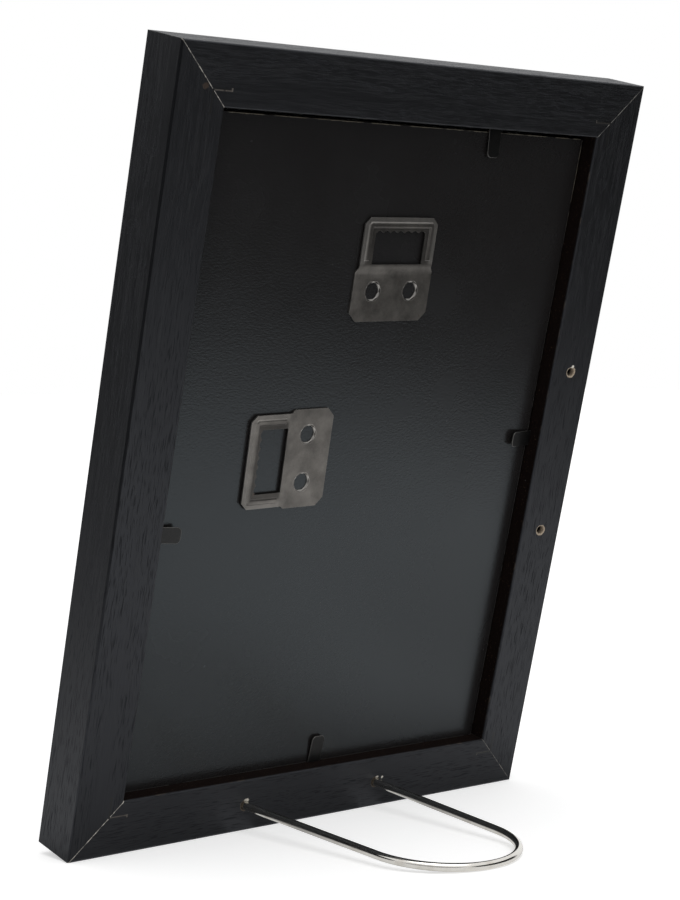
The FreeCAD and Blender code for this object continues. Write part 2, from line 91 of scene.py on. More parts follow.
# %% Sizes that the finishes use, in millimetres
RAIL_WIDE = 15.3
LIP_THICK = 5.0
OUTER = Vector((HALF_WIDTH / MM, RAIL_DEEP / MM, HEIGHT / MM))
OPENING_HALF = OUTER.x - RAIL_WIDE
OPENING_MIDDLE = OUTER.z / 2
OPENING_HALF_TALL = OUTER.z / 2 - RAIL_WIDE
HOLE_GAP = 48.0
SPARE_HOLES_MIDDLE = 105.1
HOLE_CENTRES = [
    (-HOLE_GAP / 2, RAIL_WIDE / 2),
    (HOLE_GAP / 2, RAIL_WIDE / 2),
    (RAIL_WIDE / 2 - OUTER.x, SPARE_HOLES_MIDDLE + HOLE_GAP / 2),
    (RAIL_WIDE / 2 - OUTER.x, SPARE_HOLES_MIDDLE - HOLE_GAP / 2),
]
print("opening %.1f by %.1f mm" % (2 * OPENING_HALF, 2 * OPENING_HALF_TALL))

# %% [markdown]
# ## Helpers for materials
# A material is a tree of small nodes, and each output knows the tree that it is in. So
# these helpers take outputs, numbers and colours, and find the tree by themselves. That
# keeps the recipes below readable.

# %% Node helpers


def feed(socket, value):
    """Joins an output to a socket, or sets the socket to a plain value."""
    if isinstance(value, bpy.types.NodeSocket):
        socket.id_data.links.new(value, socket)
    else:
        socket.default_value = value


def add_node(kind, inputs=None, tree=None, **settings):
    """Adds a ShaderNode of a kind to the tree that its inputs come from, or to a named one."""
    inputs = inputs or {}
    if tree is None:
        tree = next(value.id_data for value in inputs.values()
                    if isinstance(value, bpy.types.NodeSocket))
    node = tree.nodes.new("ShaderNode" + kind)
    for name, value in settings.items():
        setattr(node, name, value)
    for key, value in inputs.items():
        feed(node.inputs[key], value)
    return node


def number(operation, *values, clamp=False):
    """One step of arithmetic on numbers or outputs."""
    inputs = dict(enumerate(values))
    return add_node("Math", inputs, operation=operation, use_clamp=clamp).outputs[0]


plus, minus, times, divided = (
    partial(number, step) for step in ("ADD", "SUBTRACT", "MULTIPLY", "DIVIDE"))
largest, smallest, positive, scaled = (
    partial(number, step) for step in ("MAXIMUM", "MINIMUM", "ABSOLUTE", "MULTIPLY_ADD"))
print("arithmetic ready")

# %% [markdown]
# Places are reckoned with in the same way. Two helpers turn a number into a mask: a fade is
# a soft step, and a spread carries one range of numbers over to another.

# %% Places, fades and noise


def vector(operation, *values):
    """One step of arithmetic on vectors."""
    inputs = dict(enumerate(values))
    node = add_node("VectorMath", inputs, operation=operation)
    gives_number = operation in ("DOT_PRODUCT", "LENGTH", "DISTANCE")
    return node.outputs["Value" if gives_number else "Vector"]


def stretched(value, factor):
    """A vector times a number."""
    inputs = {0: value, "Scale": factor}
    return add_node("VectorMath", inputs, operation="SCALE").outputs["Vector"]


def taken_apart(value):
    """The three numbers of a vector."""
    return add_node("SeparateXYZ", {"Vector": value}).outputs


def put_together(x, y):
    """A flat vector from two numbers."""
    return add_node("CombineXYZ", {"X": x, "Y": y}).outputs[0]


def fade(value, start, end):
    """Zero before start, one past end, and a soft step between. Start may be the larger."""
    inputs = {"Value": value, "From Min": start, "From Max": end}
    return add_node("MapRange", inputs, interpolation_type="SMOOTHSTEP").outputs["Result"]


def spread(value, low, high, start=0.0, end=1.0):
    """Low at start, high at end, and in between in proportion."""
    inputs = {"Value": value, "From Min": start, "From Max": end, "To Min": low, "To Max": high}
    return add_node("MapRange", inputs).outputs["Result"]


def speckle(place, scale, detail=2.0, roughness=0.5):
    """Soft random brightness from 0 to 1."""
    inputs = {"Vector": place, "Scale": scale, "Detail": detail, "Roughness": roughness}
    return add_node("TexNoise", inputs).outputs["Fac"]


print("node helpers ready")

# %% [markdown]
# A material has one shader, and its colour is laid on in coats: each coat covers what is
# below it by the share that its mask gives. The node that mixes colours has one set of
# inputs for each kind of value, so here its inputs are found by number.

# %% Materials and coats of colour


def mix_colour(share, first, second):
    """The first colour where share is 0 and the second where it is 1."""
    inputs = {0: share, 6: first, 7: second}
    return add_node("Mix", inputs, data_type="RGBA").outputs[2]


def coat(below, colour, mask, share=None):
    """Lays a colour over another where a mask is, fully or by a share."""
    return mix_colour(mask if share is None else times(mask, share), below, colour)


def grey(level, warmth=0.0):
    """A grey as a colour with alpha. Warmth shifts it from blue towards red."""
    return (level * (1 + warmth), level, level * (1 - warmth), 1.0)


def new_material(name):
    """An empty material with its shader, and the frame's upright place in millimetres."""
    material = bpy.data.materials.new(name)
    material.use_nodes = True
    tree = material.node_tree
    tree.nodes.clear()
    shader = add_node("BsdfPrincipled", tree=tree)
    add_node("OutputMaterial", {"Surface": shader.outputs["BSDF"]})
    place = add_node("TexCoord", tree=tree).outputs["Object"]
    mapping = add_node("Mapping", {
        "Vector": place, "Location": UPRIGHT.translation / MM,
        "Rotation": (LEAN, 0, 0), "Scale": (1 / MM,) * 3})
    return material, shader, mapping.outputs["Vector"]


def wire_in(shader, **values):
    """Sets or joins the shader's own inputs. An underscore stands for a space."""
    for name, value in values.items():
        feed(shader.inputs[name.replace("_", " ")], value)


def bumped(height, strength, depth_mm):
    """A normal that makes a height, from 0 to 1, look depth_mm deep."""
    inputs = {"Height": height, "Strength": strength, "Distance": depth_mm * MM}
    return add_node("Bump", inputs).outputs["Normal"]


def dress(name, material):
    """Gives a piece of the model its finish as it is."""
    piece = nodes[name]
    piece.data.materials.clear()
    piece.data.materials.append(material)


print("material helpers ready")

# %% [markdown]
# ## Shared effects as node groups
# Several finishes need the same effects, such as wood pores or dust. Each is built once as
# a node group with named inputs and outputs, and is placed in each material with values of
# its own.

# %% Group helper
VECTOR = "NodeSocketVector"
NUMBER = "NodeSocketFloat"


def new_group(name, inputs, outputs):
    """An empty node group. Inputs are (name, kind, default) and outputs are names of numbers."""
    group = bpy.data.node_groups.new(name, "ShaderNodeTree")
    for label, kind, default in inputs:
        socket = group.interface.new_socket(name=label, in_out="INPUT", socket_type=kind)
        if default is not None:
            socket.default_value = default
    for label in outputs:
        group.interface.new_socket(name=label, in_out="OUTPUT", socket_type=NUMBER)
    start = group.nodes.new("NodeGroupInput")
    end = group.nodes.new("NodeGroupOutput")
    return group, start.outputs, end.inputs


def place_group(group, **inputs):
    """Places a group in the material that its inputs come from, and returns its outputs."""
    return add_node("Group", inputs, node_tree=group).outputs


print("group helpers ready")

# %% [markdown]
# The rails are open-pored wood under a black stain. Fibres and pores run along a rail, so a
# noise pattern is squeezed in that direction: the group takes the direction as an input and
# serves level and upright rails alike. It gives the fine fibres, the short dark pores, and
# a slow change in shade from one part of a board to the next.

# %% Wood grain group
SWAY = 2.5
SWAY_SCALE = 0.035
FIBRE_SQUEEZE, FIBRE_SCALE = 0.96, 1.7
PORE_SQUEEZE, PORE_SCALE = 0.95, 4.2
BAND_SCALE = 0.12
PORE_EDGE = (0.54, 0.66)
BAND_EDGE = (0.25, 0.52)
grain_group, enters, leaves = new_group(
    "wood grain",
    [("Place", VECTOR, None), ("Along", VECTOR, (1, 0, 0)), ("Shift", VECTOR, (0, 0, 0))],
    ["Fibre", "Pores", "Shade"])
moved = vector("ADD", enters["Place"], enters["Shift"])
wave = add_node("TexNoise", {"Vector": moved, "Scale": SWAY_SCALE, "Detail": 1.0})
sway = vector("SUBTRACT", wave.outputs["Color"], (0.5, 0.5, 0.5))
swayed = vector("ADD", moved, stretched(sway, SWAY))
length_along = vector("DOT_PRODUCT", swayed, enters["Along"])


def squeezed(squeeze):
    """The place with a share of its length along the rail taken out."""
    return vector("SUBTRACT", swayed, stretched(enters["Along"], times(length_along, squeeze)))


fibres = speckle(squeezed(FIBRE_SQUEEZE), FIBRE_SCALE, detail=4.0, roughness=0.65)
pore_place = squeezed(PORE_SQUEEZE)
strokes = speckle(pore_place, PORE_SCALE, detail=1.5, roughness=0.4)
bands = speckle(pore_place, BAND_SCALE, detail=1.0)
feed(leaves["Fibre"], fibres)
feed(leaves["Pores"], times(fade(strokes, *PORE_EDGE), fade(bands, *BAND_EDGE)))
feed(leaves["Shade"], bands)
print("group:", grain_group.name)

# %% [markdown]
# Dust shows on anything black. A cell pattern has one random point in each cell, and where
# the distance to that point is very small there is a speck. Most cells are left clean by a
# second random number.

# %% Dust group
SPECK = 0.03
SPECK_MORE = 0.035
dust_group, enters, leaves = new_group(
    "dust specks",
    [("Place", VECTOR, None), ("Spacing", NUMBER, 3.0), ("Share", NUMBER, 0.2)], ["Dust"])
cells = add_node("TexVoronoi", {
    "Vector": enters["Place"], "Scale": divided(1.0, enters["Spacing"]), "Randomness": 1.0})
chance = add_node("SeparateColor", {"Color": cells.outputs["Color"]}).outputs
picked = number("LESS_THAN", chance["Red"], enters["Share"])
distance = minus(cells.outputs["Distance"], times(chance["Green"], SPECK_MORE))
feed(leaves["Dust"], times(fade(distance, SPECK, 0.0), picked))
print("group:", dust_group.name)

# %% [markdown]
# Chips and worn edges all need the same thing: a mask that is solid near a line and breaks
# up into crumbs away from it. The group takes the distance to the line and how wide the
# crumbs reach, and eats into the edge of the mask with noise.

# %% Crumbled edge group
WAVER = (1.6, -0.3)
GAP_SCALE = 0.22
CRUMB_SOFT = 0.09
GAP_SOFT = 0.12
crumb_group, enters, leaves = new_group(
    "crumbled edge",
    [("Place", VECTOR, None), ("Distance", NUMBER, 0.0), ("Reach", NUMBER, 0.3),
     ("Crumb", NUMBER, 2.0), ("Gaps", NUMBER, 0.0)], ["Mask"])
crumbs = speckle(enters["Place"], enters["Crumb"], detail=3.0, roughness=0.6)
slow = speckle(enters["Place"], GAP_SCALE, detail=1.0)
inside = minus(times(enters["Reach"], scaled(crumbs, *WAVER)), enters["Distance"])
worn = fade(minus(slow, enters["Gaps"]), 0.0, GAP_SOFT)
feed(leaves["Mask"], times(fade(inside, 0.0, CRUMB_SOFT), worn))
print("group:", crumb_group.name)

# %% [markdown]
# ## The black wood
# The stain is not quite black: it is a very dark grey that gets a little lighter where it
# is thin. Raw wood shows in four places: as a pale line along each mitre, as chips round
# the drilled holes, as crumbs on the inner edge, and as the walls of the rebate, which are
# painted almost black as shade, like the raw wood deep in the holes.
# Each is a mask worked out from where a point lies in the upright frame.

# %% Masks on the rails


def split_place(place):
    """The three numbers of a place, and how far it is from the middle of the opening."""
    parts = taken_apart(place)
    return parts, positive(parts["X"]), positive(minus(parts["Z"], OPENING_MIDDLE))


def mitre_distance(across, up):
    """Distance in millimetres from the plane in which two rails meet."""
    level = minus(minus(across, up), OUTER.x - OPENING_MIDDLE)
    return divided(positive(level), math.sqrt(2))


def opening_distance(across, up):
    """Distance outwards from the opening's edge."""
    return largest(minus(across, OPENING_HALF), minus(up, OPENING_HALF_TALL))


def hole_distance(parts):
    """Distance from the axis of the nearest hole for the wire."""
    flat = put_together(parts["X"], parts["Z"])
    return reduce(smallest, [vector("DISTANCE", flat, (*centre, 0)) for centre in HOLE_CENTRES])


print("holes at", [tuple(round(v, 1) for v in centre) for centre in HOLE_CENTRES])

# %% [markdown]
# A few marks have places of their own: the drill tore out small chips beside the holes, and
# glue was wiped off at one corner. The mitres differ too. The stain has flaked off most at
# the lower corner of one rail, and in front the seams hardly show.

# %% Small marks on the wood
CHIPS_AT_HOLES = [(23.6, 9.1, 0.85), (-24.5, 9.2, 0.5), (-26.4, 8.9, 0.45), (-73.6, 130.7, 0.55)]
GLUE_SMUDGE = (72.3, 201.6, 1.0)
SPOT_EDGE = (1.05, 0.6)
SEAM_BARE = 0.25
SEAM_BARE_LOW = 0.45
SEAM_BARE_OTHER_SIDE = 0.30
SEAM_IN_FRONT = 0.12
SIDE_SOFT = 10


def spot(parts, place, spots):
    """A ragged patch round each (across, up, radius)."""
    flat = put_together(parts["X"], parts["Z"])
    ragged = scaled(speckle(place, 0.9, detail=3.0, roughness=0.6), 1.6, -0.8)
    patches = []
    for across, up, radius in spots:
        gap = divided(vector("DISTANCE", flat, (across, up, 0)), radius)
        patches.append(fade(plus(gap, ragged), *SPOT_EDGE))
    return reduce(largest, patches)


def seam_strength(parts, on_back):
    """How bare each mitre is: most at the lower corner of the right rail, hardly in front."""
    right = fade(parts["X"], -SIDE_SOFT, SIDE_SOFT)
    low = fade(parts["Z"], OPENING_MIDDLE + SIDE_SOFT, OPENING_MIDDLE - SIDE_SOFT)
    bare = scaled(scaled(low, SEAM_BARE_LOW, SEAM_BARE), right, SEAM_BARE_OTHER_SIDE)
    return times(bare, scaled(on_back, 1 - SEAM_IN_FRONT, SEAM_IN_FRONT))


print("marks:", len(CHIPS_AT_HOLES) + 1)

# %% [markdown]
# Some masks serve several coats of the wood: the long outer edge, which gets painted shade
# that shows less towards the foot, the walls of the rebate, which get painted shade too, and
# what lies near a hole.

# %% Masks of the black wood
RIM_RAW = 1.62
EDGE_WIDE = 0.7
EDGE_SOFT = 0.35
EDGE_LOW_SHARE = 0.2
EDGE_RISE = (15, 115)


# Painted shade: a dark line along the rounded long outer edge, strongest towards the top.
def painted_edge_shade(parts, across):
    past_side = minus(across, OUTER.x - EDGE_WIDE)
    edge = fade(smallest(past_side, plus(parts["Y"], EDGE_WIDE)), 0.0, EDGE_SOFT)
    return times(edge, scaled(fade(parts["Z"], *EDGE_RISE), 1 - EDGE_LOW_SHARE, EDGE_LOW_SHARE))


# Painted shade: the walls of the rebate, a recess, get raw wood darkened almost to black.
def shaded_rebate_walls(parts, rim):
    lip_back = LIP_THICK - OUTER.y
    below_edge = fade(parts["Y"], -0.4, -0.9)
    behind_lip = fade(parts["Y"], lip_back - 0.1, lip_back + 0.1)
    return times(times(fade(rim, 0.12, 0.04), below_edge), behind_lip)


def near_a_hole(parts, place):
    ragged = scaled(speckle(place, 1.3, detail=3.0), 0.9, -0.45)
    near = fade(plus(hole_distance(parts), ragged), RIM_RAW + 0.1, RIM_RAW - 0.1)
    return times(near, fade(parts["Y"], -OUTER.y + 0.5, -OUTER.y + 1))


print("masks ready")

# %% [markdown]
# Level and upright rails differ only in the direction of the grain and in which piece of
# the board they were cut from, so one function makes the material of each.

# %% Black wood material
STAIN = grey(0.0052, 0.01)
STAIN_THIN = grey(0.0145, 0.0)
PORE_AND_EDGE_SHADE_BLACK = grey(0.002)
RAW_WOOD = (0.30, 0.235, 0.165, 1)
# Raw wood darkened as painted shade, for the rebate walls and deep in the holes.
RAW_WOOD_IN_SHADE = (0.005, 0.0022, 0.0012, 1)
WALL_SPECK_IN_SHADE = (0.050, 0.032, 0.020, 1)
GLUE_BROWN = (0.075, 0.045, 0.025, 1)
MITRE_PALE = (0.78, 0.74, 0.66, 1)
HOLE_RIM = (0.44, 0.36, 0.27, 1)
DUST_GREY = grey(0.25, 0.03)
DUST_SHARE = 0.35
FIBRE_EDGE = (0.42, 0.72)
FLAKE_SCALE = 0.32
WOOD_SATIN = (0.36, 0.62)
WOOD_SHEEN = 0.52
WOOD_TINT = (0.83, 0.875, 1.0, 1)


def black_wood(name, along, shift):
    material, shader, place = new_material(name)
    parts, across, up = split_place(place)
    grain = place_group(grain_group, Place=place, Along=along, Shift=shift)
    on_back = fade(parts["Y"], -0.9, -0.3)
    rim = opening_distance(across, up)
    edge_shade = painted_edge_shade(parts, across)
    rebate_shade = shaded_rebate_walls(parts, rim)
    near_hole = near_a_hole(parts, place)

    tone = times(fade(grain["Fibre"], *FIBRE_EDGE), scaled(grain["Shade"], 1.3, 0.15, clamp=True))
    colour = mix_colour(tone, STAIN, STAIN_THIN)
    colour = coat(colour, PORE_AND_EDGE_SHADE_BLACK, grain["Pores"], 0.5)
    # Painted shade along the long outer edge, in the same black as the pores.
    colour = coat(colour, PORE_AND_EDGE_SHADE_BLACK, edge_shade)
    # Painted shade on the rebate walls, with faint fibre specks.
    fuzz = fade(speckle(place, 1.9, detail=3.0), 0.60, 0.74)
    colour = coat(colour, mix_colour(fuzz, RAW_WOOD_IN_SHADE, WALL_SPECK_IN_SHADE), rebate_shade)

    rim_chips = place_group(crumb_group, Place=place, Distance=positive(rim),
                            Reach=0.22, Crumb=0.9, Gaps=0.58)["Mask"]
    colour = coat(colour, RAW_WOOD, times(rim_chips, on_back), 0.16)
    seam = place_group(crumb_group, Place=place, Distance=mitre_distance(across, up),
                       Reach=0.27, Crumb=0.8, Gaps=0.20)["Mask"]
    flaked = fade(speckle(place, FLAKE_SCALE, detail=3.0, roughness=0.6), 0.40, 0.60)
    bare_seam = times(seam, seam_strength(parts, on_back))
    colour = coat(colour, MITRE_PALE, times(bare_seam, scaled(flaked, 0.65, 0.35)))
    smudge = times(spot(parts, place, [GLUE_SMUDGE]), on_back)
    colour = coat(colour, GLUE_BROWN, smudge, 0.5)

    in_use = fade(parts["Z"], RAIL_WIDE * 2, RAIL_WIDE)
    # Deeper in a hole the pale rim turns into painted shade.
    rim_colour = mix_colour(fade(parts["Y"], -0.8, -2.3), HOLE_RIM, RAW_WOOD_IN_SHADE)
    colour = coat(colour, rim_colour, near_hole, scaled(in_use, -0.75, 1.0))
    chips = times(spot(parts, place, CHIPS_AT_HOLES), on_back)
    colour = coat(colour, MITRE_PALE, chips)
    dust = place_group(dust_group, Place=place, Spacing=5.5, Share=0.06)["Dust"]
    colour = coat(colour, DUST_GREY, dust, DUST_SHARE)

    raw = reduce(largest, (rebate_shade, seam, near_hole, chips, grain["Pores"]))
    roughness = scaled(raw, 0.35, spread(grain["Fibre"], *WOOD_SATIN), clamp=True)
    relief = scaled(seam, -0.8, scaled(grain["Pores"], -0.5, grain["Fibre"]))
    sheen = scaled(edge_shade, -0.35, scaled(rebate_shade, -0.42, WOOD_SHEEN), clamp=True)
    wire_in(shader, Base_Color=colour, Roughness=roughness, Specular_IOR_Level=sheen,
            Specular_Tint=WOOD_TINT, Normal=bumped(relief, 0.65, 0.06))
    return material


LEVEL = (1, 0, 0)
STANDING = (0, 0, 1)
rail_grain = {
    "bottom_rail": (LEVEL, (0, 0, 0)),
    "top_rail": (LEVEL, (140, 60, 30)),
    "left_rail": (STANDING, (-50, 90, 200)),
    "right_rail": (STANDING, (75, -40, -90)),
}
rail_wood = {name: black_wood("black wood " + name, *grain) for name, grain in rail_grain.items()}
print("wood materials:", len(rail_wood))

# %% [markdown]
# ## The rails
# The rails of the model have rounded long edges, but their triangles are loose. A copy with
# its doubles merged can be shaded smoothly across the rounding while the flat faces stay
# flat, so each rail is shown by such a copy, which lies exactly where the rail lies. A copy
# also carries a number for each face that says how bare handling has rubbed it, for metal.

# %% Show merged copies of model pieces
RUBBED = "rubbed"
MERGE_DISTANCE = 0.001 * MM
SMOOTH_ANGLE = math.radians(34)


def merged_copy(node):
    """A bmesh of a node of the model with its loose triangles joined."""
    work = bmesh.new()
    work.from_mesh(nodes[node].data)
    work.faces.layers.float.new(RUBBED)
    bmesh.ops.remove_doubles(work, verts=work.verts, dist=MERGE_DISTANCE)
    return work


def mark_smooth(work, angle=SMOOTH_ANGLE):
    """Shades smoothly over every edge that bends less than the angle."""
    for face in work.faces:
        face.smooth = True
    for edge in work.edges:
        edge.smooth = edge.is_manifold and edge.calc_face_angle(math.pi) < angle


def add_object(name, data):
    """A new object in the scene."""
    made = bpy.data.objects.new(name, data)
    bpy.context.scene.collection.objects.link(made)
    return made


def mesh_object(work, name, material):
    """Turns a bmesh in the frame's own coordinates into an object."""
    mesh = bpy.data.meshes.new(name)
    work.to_mesh(mesh)
    work.free()
    mesh.materials.append(material)
    return add_object(name, mesh)


def finish_piece(work, name, material, body, replaced):
    """A finished piece that rides on a body and takes the place of a piece of the model."""
    piece = mesh_object(work, name, material)
    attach(piece, body)
    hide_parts(replaced)
    return piece


def keep_faces_flat(piece):
    """Large faces decide the shading of their corners, so that only the roundings bend it."""
    steady = piece.modifiers.new("steady faces", "WEIGHTED_NORMAL")
    steady.keep_sharp = True
    steady.weight = 100


for name, wood in rail_wood.items():
    work = merged_copy(name)
    mark_smooth(work)
    rail = finish_piece(work, name + "_wood", wood, "frame", name)
    keep_faces_flat(rail)
    print(rail.name, len(rail.data.polygons), "faces")

# %% [markdown]
# ## The corner nails
# The V-shaped nails are painted over with the rails, and only their level legs have rubbed
# bare. So the paint is the same black, and a mask lets dull steel through on the part of
# the nail that is nearer to the middle than its corner is.

# %% Corner nails
NAIL_CORNER_IN = 11.4
NAIL_HOOK_ACROSS = 64.2
STEEL_DULL = (0.19, 0.165, 0.145, 1)
NAIL_BARE = 0.42
NAIL_BARE_LESS = 0.28
HOOK_BARE_MORE = 0.12


def painted_nail():
    material, shader, place = new_material("painted nail")
    parts, across, up = split_place(place)
    level_leg = fade(across, OUTER.x - NAIL_CORNER_IN + 0.2, OUTER.x - NAIL_CORNER_IN - 0.4)
    ridge = minus(up, OPENING_MIDDLE - NAIL_CORNER_IN + 0.2)
    ridge = fade(positive(ridge), 0.24, 0.08)
    hook = fade(across, NAIL_HOOK_ACROSS + 0.4, NAIL_HOOK_ACROSS)
    line = times(level_leg, largest(ridge, hook))
    rubbed = fade(speckle(place, 1.3, detail=3.0), 0.30, 0.50)
    strength = scaled(fade(parts["X"], 20, -20), -NAIL_BARE_LESS, NAIL_BARE)
    strength = scaled(hook, HOOK_BARE_MORE, strength)
    bare = times(times(line, rubbed), strength)
    wire_in(shader, Base_Color=mix_colour(bare, STAIN, STEEL_DULL), Roughness=0.5, Metallic=0.0)
    return material


nail_finish = painted_nail()
nail_names = [name for name in nodes if name.startswith("corner_nail")]
for name in nail_names:
    dress(name, nail_finish)
print("nails:", len(nail_names))

# %% [markdown]
# ## Hardboard, paper and glass
# Hardboard is pressed fibre with one smooth black face. The lacquer has a fine orange-peel
# texture, and along the sawn edges, mostly at the top, brown fibre shows as a dotted line.

# %% Black hardboard
FIBRE_TAN = (0.26, 0.225, 0.165, 1)
FIBRE_BROWN = (0.055, 0.030, 0.016, 1)
LACQUER = (0.0138, 0.0124, 0.0122, 1)
LACQUER_THIN = (0.0180, 0.0163, 0.0161, 1)
LACQUER_SATIN = (0.20, 0.32)
LACQUER_SHEEN = 0.44
LACQUER_TINT = (0.76, 0.91, 1.0, 1)
PEEL_SCALE = (1.0, 1.0, 2.1)
FRINGE_SHARE = 0.50
FRINGE_LEAST = 0.06


def hardboard():
    material, shader, place = new_material("black hardboard")
    parts = taken_apart(place)
    middle_up = (board_low.z + board_high.z) / 2 / MM
    half_up = (board_high.z - board_low.z) / 2 / MM
    face = board_high.y / MM
    side = minus(board_high.x / MM, positive(parts["X"]))
    inwards = smallest(side, minus(half_up, positive(minus(parts["Z"], middle_up))))
    cloud = speckle(place, 0.05, detail=3.0, roughness=0.55)
    colour = mix_colour(cloud, LACQUER, LACQUER_THIN)
    fringe = place_group(crumb_group, Place=place, Distance=inwards, Reach=0.36,
                         Crumb=1.5, Gaps=0.38)["Mask"]
    top_edge = fade(parts["Z"], OPENING_MIDDLE + 60, OPENING_MIDDLE + 80)
    right_edge = fade(parts["X"], OPENING_HALF - 2, OPENING_HALF - 1)
    shown = scaled(largest(top_edge, times(right_edge, 0.8)), FRINGE_SHARE, FRINGE_LEAST)
    colour = coat(colour, FIBRE_TAN, fringe, shown)
    sawn = times(fade(inwards, 0.06, 0.02), fade(parts["Y"], face - 0.05, face - 0.2))
    fuzz = fade(speckle(place, 2.2, detail=3.0), 0.45, 0.7)
    colour = coat(colour, mix_colour(fuzz, FIBRE_BROWN, FIBRE_TAN), sawn)
    dust = place_group(dust_group, Place=place, Spacing=3.2, Share=0.16)["Dust"]
    colour = coat(colour, DUST_GREY, dust, DUST_SHARE)
    gloss = spread(cloud, *LACQUER_SATIN)
    roughness = scaled(largest(fringe, sawn), 0.6, gloss, clamp=True)
    peel = speckle(vector("MULTIPLY", place, PEEL_SCALE), 1.0)
    wire_in(shader, Base_Color=colour, Roughness=roughness, Specular_IOR_Level=LACQUER_SHEEN,
            Specular_Tint=LACQUER_TINT, Normal=bumped(peel, 0.9, 0.042))
    return material


dress("backing_board", hardboard())
print("board %.1f by %.1f mm" % tuple((board_high - board_low)[axis] / MM for axis in (0, 2)))

# %% [markdown]
# The paper lies against the glass. Two surfaces in exactly the same place confuse a
# renderer, so the paper is shown by a sheet that is a hair thinner than the real one.

# %% Paper and glass
HAIR = 0.02 * MM
PAPER_WHITE = (0.74, 0.73, 0.70, 1)
PAPER_FIBRE = (0.66, 0.65, 0.61, 1)
GLASS_TINT = (0.96, 1.0, 0.98, 1)


def paper():
    material, shader, place = new_material("paper")
    fibres = speckle(place, 1.4, detail=5.0, roughness=0.7)
    wire_in(shader, Base_Color=mix_colour(fibres, PAPER_WHITE, PAPER_FIBRE),
            Roughness=0.85, Normal=bumped(fibres, 0.2, 0.02))
    return material


def clear_glass():
    material, shader, place = new_material("clear glass")
    haze = spread(speckle(place, 0.03, detail=3.0), 0.0, 0.05, 0.55, 0.8)
    wire_in(shader, Base_Color=GLASS_TINT, Roughness=haze, IOR=1.5, Transmission_Weight=1.0)
    return material


sheet_low, sheet_high = upright_box("picture_sheet")
work = bmesh.new()
bmesh.ops.create_cube(work, size=1)
sheet_size = sheet_high - sheet_low - Vector((0, 2 * HAIR, 0))
bmesh.ops.scale(work, vec=sheet_size, verts=work.verts)
bmesh.ops.translate(work, vec=(sheet_low + sheet_high) / 2, verts=work.verts)
bmesh.ops.transform(work, matrix=LEANED, verts=work.verts)
finish_piece(work, "picture_paper", paper(), "frame", "picture_sheet")
dress("glass_pane", clear_glass())
print("paper %.2f mm thick" % (sheet_size.y / MM))

# %% [markdown]
# ## The hangers
# Saw-tooth hangers are stamped from thin steel and blackened, and handling leaves the
# finish cloudy. Round the window runs a raised bead. The strip inside the bead gets painted
# shade, and the band outside it a painted highlight, so both get a mask of their own.

# %% Blackened steel
STEEL_DARK = (0.075, 0.071, 0.066, 1)
STEEL_WORN = (0.21, 0.197, 0.182, 1)
# Bare steel, for edges rubbed bare and for the painted highlight beside the bead.
STEEL_BARE_AND_HIGHLIGHT = (0.62, 0.60, 0.57, 1)
RUST_BROWN = (0.10, 0.06, 0.035, 1)
STEEL_SHADED = (0.040, 0.037, 0.035, 1)
STEEL_SATIN = 0.22
HANGER_PLACES = {"hanger_portrait": (-1.8, 157.8, 1.2), "hanger_landscape": (25.4, 105.6, 91.6)}
BOARD_RECESS = 4.7
WINDOW_HALF = 8.85
WINDOW_TOP = 9.5
BEAD_IN, BEAD_MIDDLE, BEAD_OUT = 1.2, 2.1, 2.7
EYE_FOOT = (0.4, 1.6)


def painted_bead_light(place, hanger):
    """Masks for the painted shade on the strip inside the bead and the painted highlight on the
    band outside it.
    """
    across, up, turn = HANGER_PLACES[hanger]
    sine, cosine = math.sin(math.radians(turn)), math.cos(math.radians(turn))
    local = vector("SUBTRACT", place, (across, 0, up))
    side = vector("DOT_PRODUCT", local, (cosine, 0, -sine))
    height = vector("DOT_PRODUCT", local, (sine, 0, cosine))
    outwards = largest(minus(positive(side), WINDOW_HALF), minus(height, WINDOW_TOP))
    on_eye = fade(height, *EYE_FOOT)
    shaded_strip = times(fade(outwards, BEAD_MIDDLE, BEAD_IN), on_eye)
    return shaded_strip, times(fade(outwards, BEAD_MIDDLE, BEAD_OUT), on_eye)


def blackened_steel(name, worn_share, roughness_low, dark, hanger=None, shade_and_highlight_shares=None):
    material, shader, place = new_material(name)
    cloud = speckle(place, 0.16, detail=4.0, roughness=0.65)
    fine = speckle(place, 2.4, detail=3.0, roughness=0.7)
    wear = scaled(cloud, 2.0, worn_share - 1.0, clamp=True)
    wear = scaled(minus(fine, 0.5), 0.5, wear, clamp=True)
    colour = mix_colour(wear, dark, STEEL_WORN)
    if hanger:
        shaded_strip, lit_band = painted_bead_light(place, hanger)
        # Painted shade on the strip inside the bead, and a painted highlight on the band outside
        # it.
        colour = coat(colour, STEEL_SHADED, shaded_strip, shade_and_highlight_shares[0])
        colour = coat(colour, STEEL_BARE_AND_HIGHLIGHT, lit_band, shade_and_highlight_shares[1])
    rust = fade(speckle(place, 0.5, detail=4.0, roughness=0.7), 0.64, 0.74)
    colour = coat(colour, RUST_BROWN, rust, 0.35)
    dust = place_group(dust_group, Place=place, Spacing=1.6, Share=0.15)["Dust"]
    colour = coat(colour, DUST_GREY, dust, 0.4)
    rubbed = add_node("Attribute", tree=material.node_tree, attribute_name=RUBBED)
    colour = coat(colour, STEEL_BARE_AND_HIGHLIGHT, rubbed.outputs["Fac"])
    roughness = spread(fine, roughness_low, roughness_low + STEEL_SATIN)
    wire_in(shader, Base_Color=colour, Roughness=roughness, Metallic=0.85,
            Normal=bumped(fine, 0.25, 0.015))
    return material


